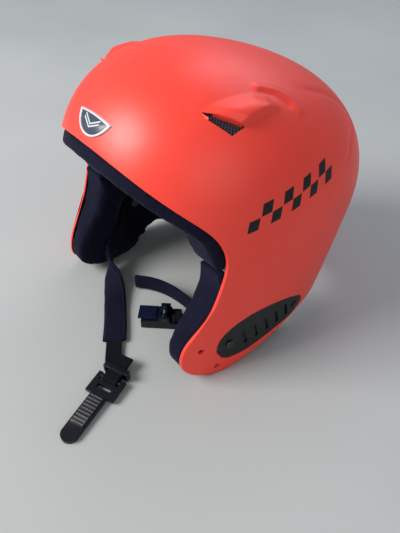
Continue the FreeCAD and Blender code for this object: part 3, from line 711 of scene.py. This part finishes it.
def sewnLines(piece, lines, width, depth):
    # sewn channels pressed into a cushion, along worn side-view lines
    worn = toWorn(coordsOf(piece))
    normal = normalsOf(piece)
    press = np.zeros(len(worn))
    for line in lines:
        path = [np.array(q) for q in smoothThrough(line, 40)]
        distance = segmentDistance(worn[:, 1:3], path)[0]
        press = np.maximum(press, depth * np.exp(-(distance / width) ** 2))
    setCoords(piece, coordsOf(piece) - normal * press[:, None] * mm)


def softened(piece, voxel, smooth):
    remesh = piece.modifiers.new("remesh", "REMESH")
    remesh.mode = "VOXEL"
    remesh.voxel_size = voxel
    soften = piece.modifiers.new("soften", "SMOOTH")
    soften.iterations = smooth
    useModifiers(piece)


def onceFiner(piece):
    finer = piece.modifiers.new("finer", "SUBSURF")
    finer.levels = 1
    finer.render_levels = 1
    useModifiers(piece)
    piece.data.shade_smooth()


cheekPlan = {"voxel": 0.004, "smooth": 2, "swell": 1.1, "fill": 0.75}
sidePlan = {"voxel": 0.004, "smooth": 4, "swell": 0.8, "fill": 0.6}
cushions = {"cheek_pad_left": {"name": "cheekPadLeft", **cheekPlan},
            "cheek_pad_right": {"name": "cheekPadRight", **cheekPlan},
            "brow_pad": {"name": "browPad", "voxel": 0.0028, "smooth": 2, "swell": 0.5, "fill": 0.7},
            "side_pad_left": {"name": "sidePadLeft", **sidePlan},
            "side_pad_right": {"name": "sidePadRight", **sidePlan},
            "nape_pad": {"name": "napePad", "voxel": 0.003, "smooth": 5, "swell": 0.8, "fill": 0.6},
            "back_pad": {"name": "backPad", **sidePlan},
            "crown_pad": {"name": "crownPad", "voxel": 0.003, "smooth": 3, "swell": 0.6, "fill": 0.55}}
seamPlan = {"width": 1.8, "depth": 1.3}
cheekSeams = [[(-57.0, 60.0), (-50.0, 40.0), (-52.0, 22.0), (-40.0, 4.0), (-15.0, 2.0)],
              [(-30.0, 90.0), (-38.0, 66.0), (-34.0, 44.0), (-26.0, 26.0)]]


def makeCushion(nodeName, plan):
    piece = copyOf(nodeName, plan["name"], linerCloth)
    softened(piece, plan["voxel"], plan["smooth"])
    # the face against the shell or the foam stays where it is
    free = isOutside(toWorn(coordsOf(piece)), headForm["wall"] + 2.5)[:, None]
    setCoords(piece, coordsOf(piece) - normalsOf(piece) * np.where(free, 0.0, plan["swell"]) * mm)
    swellUp(piece, 4.0, plan["swell"] * 1.6 * mm)
    if nodeName.startswith("cheek"):
        sewnLines(piece, cheekSeams, seamPlan["width"], seamPlan["depth"])
    onceFiner(piece)
    keepInside(piece, headForm["wall"] + 0.25)
    place(piece, "helmet", "liner_fabric", nodeName)
    return piece


print("pads")
for nodeName, plan in cushions.items():
    makeCushion(nodeName, plan)


# the straps lie on the table; points are in millimetres
straps = {"width": 14.5, "thick": 1.8, "bar": 2.0, "play": 0.1, "ribs": 5,
          "beyondRivet": 8.0, "flatAtRivet": 9.5, "padAt": 71.0, "rampEnd": 40.0}
tongueAt = {"bar": (59.5, -108.5, 4.2), "forward": (0.407, -0.913, -0.035), "side": (0.913, 0.407, 0.0)}
ratchetAt = {"bar": (38.0, -22.0, 4.2), "forward": (-0.67, -0.743, 0.0), "side": (-0.743, 0.67, 0.0)}
rightLine = [((-69.0, -28.0, 25.5), (0, -0.35, 0.93)), ((-60.0, -36.5, 16.5), (0.35, -0.2, 0.9)),
             ((-47.0, -42.5, 9.0), (0.5, 0.6, 0.62)), ((-31.0, -50.0, 5.4), (0.45, 0.85, 0.2)),
             ((-13.0, -60.5, 3.7), (0.5, 0.86, 0)), ((6.0, -72.0, 3.3), (0.55, 0.83, 0)),
             ((24.0, -84.0, 3.3), (0.55, 0.83, 0)), ((38.0, -93.5, 2.6), (0.55, 0.83, 0)),
             ((48.0, -99.5, 2.2), (0.6, 0.8, 0)), ((54.5, -102.8, 1.9), (0.8, 0.6, 0))]
leftLine = [((66.0, -9.0, 12.0), (0.2, 0.75, -0.6)), ((57.0, -12.0, 7.0), (0.1, 0.9, -0.3)),
            ((48.0, -15.0, 4.5), (-0.2, 0.95, 0)), ((44.0, -17.6, 2.4), (-0.5, 0.86, 0.0))]
flapLine = [((62.0, -4.2, 14.2), (0.3, 0.3, 0.9)), ((52.0, -5.5, 12.0), (0.1, 0.2, 1)),
            ((38.0, -5.5, 10.5), (0, 0, 1)), ((22.0, -6.0, 10.2), (0, 0, 1)),
            ((6.0, -9.0, 10.2), (0, 0, 1)), ((-8.0, -15.0, 10.2), (0, 0, 1)),
            ((-19.0, -23.0, 10.2), (0, 0, 1)), ((-25.5, -29.5, 10.2), (0, 0, 1))]
sleevePlan = {"width": 22.0, "thick": 4.6, "quilts": 5.0}
flapPlan = {"width": 17.0, "thick": 4.4, "quilts": 4.0}


def strapStart(side, along):
    # from the rivet's eyelet, up the slope of the ear pocket and onto the pad's inner face
    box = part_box("strap_rivet_left")
    y, z = (box[0][1] + box[1][1]) / 2 / mm, (box[0][2] + box[1][2]) / 2 / mm
    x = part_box("strap_webbing_left")[1][0] / mm - straps["thick"] / 2
    way = np.array([0.0, *along]) / math.hypot(*along)
    across = np.cross((1.0, 0.0, 0.0), way)
    rivet = np.array([side * x, y, z])
    ramp = np.array([side * straps["padAt"], y, z])
    line = [rivet - way * straps["beyondRivet"], rivet, rivet + way * straps["flatAtRivet"],
            ramp + way * straps["rampEnd"]]
    return [(p, across) for p in line]


def sweepBand(name, stations, ringOf, material, steps=4):
    # a flat section carried along a smooth line; ringOf(t) gives the section as (across, up)
    centre = np.array([s[0] for s in stations], float)
    sides = np.array([s[1] for s in stations], float)
    sides /= np.linalg.norm(sides, axis=1)[:, None]
    run = runOf(centre)
    count = max(8, int(run[-1] / 10.0 * steps))
    line = smoothThrough(centre, count)
    length = runOf(line)
    side = atRun(length / length[-1] * run[-1], run, sides)
    along = np.gradient(line, axis=0)
    along /= np.linalg.norm(along, axis=1)[:, None]
    side -= along * np.sum(side * along, axis=1)[:, None]
    side /= np.linalg.norm(side, axis=1)[:, None]
    up = np.cross(along, side)
    points, faces = [], []
    for k in range(count):
        ring = np.array(ringOf(k / (count - 1)))
        points.append(line[k] + side[k] * ring[:, :1] + up[k] * ring[:, 1:])
    n = len(points[0])
    for k in range(count - 1):
        for i in range(n):
            j = (i + 1) % n
            faces.append((k * n + i, k * n + j, (k + 1) * n + j, (k + 1) * n + i))
    faces.append(tuple(range(n))[::-1])
    faces.append(tuple((count - 1) * n + i for i in range(n)))
    return facesOutward(newPiece(name, np.concatenate(points) * mm, faces, material))


def webSection(t):
    # woven tape: thicker bound edges and shallow lengthwise ribs
    half, thick = straps["width"] / 2, straps["thick"] / 2
    ring = []
    across = np.linspace(-1, 1, 29)
    for u in across:
        edge = 1.0 if abs(u) > 0.86 else 0.80
        rib = 0.07 * math.cos(u * math.pi * straps["ribs"] * 2)
        ring.append((u * half * 0.97, thick * (edge + rib) * (1 - 0.5 * (abs(u) > 0.99))))
    return ring + [(u, -v) for u, v in ring[::-1]]


def foldRound(hold, lead):
    # the tape's run under, round and back over a buckle's bar
    bar, forward = np.array(hold["bar"]), np.array(hold["forward"])
    forward = forward / np.linalg.norm(forward)
    radius = straps["bar"] + straps["play"] + straps["thick"] / 2
    line = []
    for turn in range(-90, 91, 15):
        a = math.radians(turn)
        onBar = bar + forward * radius * math.cos(a) + np.array([0, 0, radius * math.sin(a)])
        line.append((onBar, hold["side"]))
    line.append((bar - forward * lead + np.array([0, 0, radius]), hold["side"]))
    return line


def puffSection(plan):
    # a padded section that thins towards both ends, quilted along its length
    turn = np.linspace(0, 2 * math.pi, 28, endpoint=False)
    c, s = np.cos(turn), np.sin(turn)

    def ringOf(t):
        close = min(1.0, 0.62 + 4.5 * min(t, 1 - t) / plan["quilts"])
        quilt = 1 + 0.06 * math.cos(t * plan["quilts"] * 6.28)
        return np.stack([np.sign(c) * np.abs(c) ** 0.5 * plan["width"] / 2,
                         np.sign(s) * np.abs(s) ** 0.8 * plan["thick"] / 2 * close * quilt], 1)
    return ringOf


print("straps")
rightWay = strapStart(-1, (-0.962, -0.272)) + rightLine + foldRound(tongueAt, 4.5)
rightTape = sweepBand("strapWebbingRight", rightWay, webSection, webCloth, 14)
place(rightTape, "right_strap", "webbing_black", "strap_webbing_right")
leftWay = strapStart(1, (-0.70, -0.71)) + leftLine + foldRound(ratchetAt, 3.0)
leftTape = sweepBand("strapWebbingLeft", leftWay, webSection, webCloth, 14)
place(leftTape, "left_strap", "webbing_black", "strap_webbing_left")
sleeve = sweepBand("strapSleeve", rightLine[:7], puffSection(sleevePlan), linerCloth, 5)
chinFlap = sweepBand("chinFlap", flapLine, puffSection(flapPlan), linerCloth, 5)
for soft, body, node in ((sleeve, "right_strap", "strap_sleeve"), (chinFlap, "left_strap", "chin_flap")):
    swellUp(soft, 3.0, 0.5 * mm)
    onceFiner(soft)
    place(soft, body, "liner_fabric", node)
stitch = {"length": 2.2, "thick": 0.45, "pitch": 3.4}


def stitchRow(name, stations, offset, lift, body, first, last):
    # a row of thread stitches along a strap or sleeve
    centre = smoothThrough([s[0] for s in stations], 240)
    run = runOf(centre)
    sides = np.array([s[1] for s in stations], float)
    key = np.linspace(0, run[-1], len(sides))
    points, faces = [], []
    at = run[-1] * first
    while at < run[-1] * last:
        ends = []
        for s in (at, at + stitch["length"]):
            before, spot, after = atRun([s - 0.5, s, s + 0.5], run, centre)
            side = atRun([s], key, sides)[0]
            way = (after - before) / np.linalg.norm(after - before)
            side -= way * (side @ way)
            side /= np.linalg.norm(side)
            up = np.cross(way, side)
            ends.append((spot + side * offset + up * lift, side, up))
        base = len(points)
        for spot, side, up in ends:
            for i in range(6):
                a = i * math.pi / 3
                points.append(spot + (side * math.cos(a) + up * math.sin(a)) * stitch["thick"] / 2)
        for i in range(6):
            j = (i + 1) % 6
            faces.append((base + i, base + j, base + 6 + j, base + 6 + i))
        faces.append(tuple(base + i for i in range(6))[::-1])
        faces.append(tuple(base + 6 + i for i in range(6)))
        at += stitch["pitch"]
    return place(newPiece(name, np.array(points) * mm, faces, threadGrey), body, "webbing_black")


for edge, label in ((1, "Upper"), (-1, "Lower")):
    stitchRow("sleeveStitch" + label, rightLine[:7], edge * 8.6, 2.15, "right_strap", 0.05, 0.95)
    stitchRow("flapStitch" + label, flapLine, edge * 6.2, 2.1, "left_strap", 0.06, 0.94)


def bevelled(nodeName, name, width, material, body, slotName, angle=35.0):
    piece = copyOf(nodeName, name, material)
    bm = bmesh.new()
    bm.from_mesh(piece.data)
    bmesh.ops.remove_doubles(bm, verts=bm.verts, dist=0.00001)
    bmesh.ops.dissolve_limit(bm, angle_limit=math.radians(1.0), verts=bm.verts, edges=bm.edges)
    bm.to_mesh(piece.data)
    bm.free()
    bevel = piece.modifiers.new("bevel", "BEVEL")
    bevel.width = width * mm
    bevel.segments = 3
    bevel.limit_method = "ANGLE"
    bevel.angle_limit = math.radians(angle)
    bevel.use_clamp_overlap = True
    useModifiers(piece)
    piece.data.shade_smooth()
    piece.data.set_sharp_from_angle(angle=math.radians(32.0))
    even = piece.modifiers.new("even", "WEIGHTED_NORMAL")
    even.keep_sharp = True
    return place(piece, body, slotName, nodeName)


print("buckle")
bevelled("ladder_tongue", "ladderTongue", 0.45, bucklePlastic, "tongue", "buckle_plastic")
bevelled("ratchet_housing", "ratchetHousing", 0.5, bucklePlastic, "ratchet", "buckle_plastic")
bevelled("release_lever", "releaseLever", 0.5, leverPlastic, "lever", "lever_plastic")
bevelled("strap_keeper", "strapKeeper", 0.4, bucklePlastic, "right_strap", "buckle_plastic")
bevelled("strap_tail", "strapTail", 0.5, webCloth, "right_strap", "webbing_black")
for side in ("left", "right"):
    label = side.capitalize()
    bevelled("ear_grille_" + side, "earGrille" + label, 0.35, grillePlastic, "helmet", "grille_plastic", 50.0)
    bevelled("grille_screws_" + side, "grilleScrews" + label, 0.25, darkSteel, "helmet", "dark_steel")


def frontY(x, z, inset):
    width, front = formReach(z, inset)[:2]
    left = np.clip(1.0 - (np.abs(x) / width) ** headForm["plan"], 0.0, 1.0)
    return headForm["middle"] - front * left ** (1.0 / headForm["plan"])


badge = {"half": 20.0, "top": 177.0, "arch": 1.5, "height": 13.5, "waist": (14.0, 8.5), "rim": 0.84,
         "proud": 1.3, "dome": 0.45, "mark": ((-9.5, 173.4), (0.0, 168.8), (9.5, 173.4)), "markStep": 2.2,
         "markWide": 1.1, "markHeights": (0.6, 1.25)}


def arcThrough(a, b, c, count):
    # circle arc through three flat points
    a, b, c = (np.array(p, float) for p in (a, b, c))
    m = np.array([b - a, c - a]) * 2
    centre = np.linalg.solve(m, [b @ b - a @ a, c @ c - a @ a])
    start, mid, end = (math.atan2(*(p - centre)[::-1]) for p in (a, b, c))
    radius = np.linalg.norm(a - centre)
    if (mid - start) % (2 * math.pi) > (end - start) % (2 * math.pi):
        span = (end - start) % (2 * math.pi) - 2 * math.pi
    else:
        span = (end - start) % (2 * math.pi)
    turn = start + span * np.linspace(0, 1, count)
    return np.stack([centre[0] + radius * np.cos(turn), centre[1] + radius * np.sin(turn)], 1)


def badgeOutline():
    b = badge
    left, right, foot = (b["half"], b["top"]), (-b["half"], b["top"]), (0.0, b["top"] - b["height"])
    top = arcThrough(right, (0.0, b["top"] + b["arch"]), left, 30)
    a = arcThrough(left, (b["waist"][0], b["top"] - b["waist"][1]), foot, 30)
    c = arcThrough(foot, (-b["waist"][0], b["top"] - b["waist"][1]), right, 30)
    return np.concatenate([top[:-1], a[:-1], c[:-1]])


def badgePart(name, profile, material):
    # profile is a run of (share of the outline, height off the shell)
    outline = badgeOutline()
    centre = np.array([0.0, badge["top"] - badge["height"] * 0.42])
    n = len(outline)
    points, faces = [], []
    for share, height in profile:
        flat = centre + (outline - centre) * share
        points.append(np.column_stack([flat[:, 0], frontY(flat[:, 0], flat[:, 1], -height), flat[:, 1]]))
    for k in range(len(profile) - 1):
        for i in range(n):
            j = (i + 1) % n
            faces.append((k * n + i, k * n + j, (k + 1) * n + j, (k + 1) * n + i))
    if profile[-1][0] < 0.1:
        faces.append(tuple((len(profile) - 1) * n + i for i in range(n)))
    return newPiece(name, toRest(np.concatenate(points)), faces, material)


print("badge and markings")
rim, proud, dome = badge["rim"], badge["proud"], badge["dome"]
rimProfile = [(1.0, -0.3), (1.0, proud * 0.6), (0.985, proud * 0.92), (0.96, proud), (rim + 0.03, proud),
              (rim + 0.008, proud * 0.9), (rim, proud * 0.5), (rim, -0.3)]
place(badgePart("badgeRim", rimProfile, badgePale), "helmet", "badge_enamel", "front_badge")
faceProfile = [(rim * k, 0.65 + dome * (1 - k * k)) for k in (1.0, 0.9, 0.75, 0.6, 0.45, 0.3, 0.15, 0.04)]
place(badgePart("badgeFace", [(rim + 0.005, 0.1)] + faceProfile, badgeDark), "helmet", "badge_enamel")
for label, step in (("Low", 0.0), ("High", badge["markStep"])):
    low = np.array(badge["mark"]) + (0.0, step)
    high = low + (0.0, badge["markWide"])
    flat = np.concatenate([low, high[::-1]])
    ends = []
    for height in badge["markHeights"]:
        ends.append(np.column_stack([flat[:, 0], frontY(flat[:, 0], flat[:, 1], -height), flat[:, 1]]))
    quads = [(0, 1, 4, 5), (1, 2, 3, 4), (6, 7, 10, 11), (7, 8, 9, 10)]
    quads += [(i, (i + 1) % 6, (i + 1) % 6 + 6, i + 6) for i in range(6)]
    chevron = newPiece("badgeMark" + label, toRest(np.concatenate(ends)), quads, badgePale, False)
    place(chevron, "helmet", "badge_enamel")

sideMark = {"low": ((-49.5, 131.5), (29.5, 174.5)), "high": ((-57.5, 147.5), (22.0, 190.5)),
            "columns": 9, "rows": 2, "gap": 0.06, "proud": 0.25, "sunk": 0.3, "lean": 0.35}


def markCell(side, corners, n=5):
    # a thin plate that follows the shell between four worn side-view corners
    u, v = np.meshgrid(np.linspace(0, 1, n), np.linspace(0, 1, n), indexing="ij")
    a, b, c, d = (np.array(p) for p in corners)
    u, v = u.reshape(-1, 1), v.reshape(-1, 1)
    flat = (a * (1 - u) + b * u) * (1 - v) + (d * (1 - u) + c * u) * v
    layers = []
    for inset in (-sideMark["proud"], sideMark["sunk"]):
        layers.append(np.column_stack([side * sideX(flat[:, 0], flat[:, 1], inset), flat]))
    faces = []
    for layer, flip in ((0, False), (n * n, True)):
        for i in range(n - 1):
            for j in range(n - 1):
                q = layer + i * n + j
                quad = (q, q + n, q + n + 1, q + 1)
                faces.append(quad[::-1] if flip else quad)
    rimWay = [i * n for i in range(n)] + [(n - 1) * n + j for j in range(1, n)]
    rimWay += [i * n + n - 1 for i in range(n - 2, -1, -1)] + list(range(n - 2, 0, -1))
    for a, b in zip(rimWay, rimWay[1:] + rimWay[:1]):
        faces.append((a, b, b + n * n, a + n * n))
    return np.concatenate(layers), faces


def makeMark(side, name):
    points, faces = [], []
    low, high = np.array(sideMark["low"]), np.array(sideMark["high"])
    count = 0

    def at(u, v):
        u = u + sideMark["lean"] * (v - 0.5) / sideMark["columns"] * 2
        bottom = low[0] + (low[1] - low[0]) * u
        top = high[0] + (high[1] - high[0]) * u
        return bottom + (top - bottom) * v

    for row in range(sideMark["rows"]):
        for column in range(sideMark["columns"]):
            if (row + column) % 2:
                continue
            gap = sideMark["gap"]
            u0, u1 = (np.array([column + gap, column + 1 - gap]) + 0.3) / (sideMark["columns"] + 0.6)
            v0, v1 = np.array([row + gap / 2, row + 1 - gap / 2]) / sideMark["rows"]
            cell, cellFaces = markCell(side, (at(u0, v0), at(u1, v0), at(u1, v1), at(u0, v1)))
            points.append(cell)
            faces += [tuple(i + count for i in f) for f in cellFaces]
            count += len(cell)
    return facesOutward(newPiece(name, toRest(np.concatenate(points)), faces, decalBlack, False))


ventWires = {"overlap": 1.12, "pitch": 2.1, "first": 0.7, "depth": 1.2, "weave": 0.25, "half": 0.32}


def makeVentGrid(side, name):
    # a woven wire grid just inside the vent's mouth
    outline = np.array(hood["mouth"])
    centre = outline.mean(0)
    outline = centre + (outline - centre) * ventWires["overlap"]
    line = asLine(outline, True)
    half = ventWires["half"]
    points, faces = [], []
    for axis, other in ((0, 1), (1, 0)):
        start = outline[:, axis].min() + ventWires["first"]
        for at in np.arange(start, outline[:, axis].max(), ventWires["pitch"]):
            fine = np.linspace(outline[:, other].min(), outline[:, other].max(), 120)
            flat = np.zeros((120, 2))
            flat[:, axis] = at
            flat[:, other] = fine
            hit = fine[insideOutline(flat, line)]
            if len(hit) < 4:
                continue
            ends = [np.zeros(2), np.zeros(2)]
            for e, s in zip(ends, (hit[0], hit[-1])):
                e[axis], e[other] = at, s
            base = len(points)
            depth = ventWires["depth"] + ventWires["weave"] * axis
            way = np.zeros(2)
            way[axis] = half
            for e in ends:
                for u, d in ((-1, -half), (1, -half), (1, half), (-1, half)):
                    q = e + way * u
                    p = np.array(hood["tip"]) + ventAlong * q[0] + ventUp * q[1] - ventOut * (depth + d)
                    p[0] *= side
                    points.append(p)
            for i in range(4):
                j = (i + 1) % 4
                faces.append((base + i, base + j, base + 4 + j, base + 4 + i))
            faces += [(base + 3, base + 2, base + 1, base), (base + 4, base + 5, base + 6, base + 7)]
    return facesOutward(newPiece(name, toRest(np.array(points)), faces, meshWire, False))


for side, label in ((1, "left"), (-1, "right")):
    place(makeMark(side, "sideMark" + label.capitalize()), "helmet", "decal_black", "side_decal_" + label)
    place(makeVentGrid(side, "ventMesh" + label.capitalize()), "helmet", "black_mesh", "vent_mesh_" + label)

# finishes of the pieces that keep their own shape
keepLooks = {"eps_liner": foamWhite, "pad_dots": webCloth, "lever_pin": darkSteel, "lever_spring": darkSteel}
for side in ("left", "right"):
    keepLooks["ear_mesh_" + side] = meshWire
    keepLooks["guard_nuts_" + side] = brassLook
    keepLooks["strap_rivet_" + side] = darkSteel
    keepLooks["rivet_washer_" + side] = darkSteel
for nodeName, look in keepLooks.items():
    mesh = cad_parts[nodeName].data
    mesh.materials.clear()
    mesh.materials.append(look)

cameraView = {"from": (0.30117, -0.20844, 0.35597), "forward": (-0.58235146, 0.47052281, -0.66292915),
              "right": (0.62206272, 0.782913, 0.0092307), "lens": 33.59}


def makeCamera():
    data = bpy.data.cameras.new("camera")
    data.lens = cameraView["lens"]
    data.sensor_width = 36.0
    data.clip_start = 0.01
    camera = linked("camera", data)
    forward = Vector(cameraView["forward"]).normalized()
    right = Vector(cameraView["right"]).normalized()
    up = right.cross(forward).normalized()
    turn = Matrix((right, up, -forward)).transposed().to_4x4()
    camera.matrix_world = Matrix.Translation(Vector(cameraView["from"])) @ turn
    bpy.context.scene.camera = camera


floorPlan = {"half": 4.0, "dark": (0.41, 0.43, 0.42), "pale": (0.46, 0.48, 0.465)}


def makeFloor():
    material, nodes, links, shader = nodeMaterial("paleFloor", floorPlan["pale"], 0.75, 0.3)
    cloudy = noiseAt(nodes, links, objectSpace(nodes), 3.0)
    tint = rampBetween(nodes, links, cloudy, 0.3, 0.7, floorPlan["dark"], floorPlan["pale"])
    links.new(tint, shader.inputs["Base Color"])
    half = floorPlan["half"]
    corners = [(-half, -half, 0), (half, -half, 0), (half, half, 0), (-half, half, 0)]
    newPiece("floor", corners, [(0, 1, 2, 3)], material, False)


def areaLight(name, spot, target, size, watts, color):
    data = bpy.data.lights.new(name, "AREA")
    data.shape = "RECTANGLE"
    data.size, data.size_y = size
    data.energy = watts
    data.color = color
    light = linked(name, data)
    light.location = spot
    light.rotation_euler = (Vector(target) - Vector(spot)).to_track_quat("-Z", "Y").to_euler()


lightPlan = {"window": {"spot": (-0.75, -1.45, 1.3), "target": (0, 0, 0.12), "size": (1.1, 1.0), "watts": 50,
                        "color": (1.0, 0.97, 0.96)},
             "sky": {"spot": (-0.5, 1.3, 1.6), "target": (0, 0, 0.15), "size": (1.5, 1.2), "watts": 12,
                     "color": (0.78, 0.84, 1.0)},
             "room": {"spot": (1.6, -0.5, 0.9), "target": (0, 0, 0.1), "size": (1.4, 1.2), "watts": 6,
                      "color": (1.0, 0.96, 0.92)}}
print("camera, floor and light")
makeCamera()
makeFloor()
for name, plan in lightPlan.items():
    areaLight(name, **plan)
world = bpy.data.worlds.new("world")
world.use_nodes = True
world.node_tree.nodes["Background"].inputs["Color"].default_value = (0.75, 0.80, 0.88, 1.0)
world.node_tree.nodes["Background"].inputs["Strength"].default_value = 0.38
bpy.context.scene.world = world
bpy.context.scene.view_settings.view_transform = "Standard"
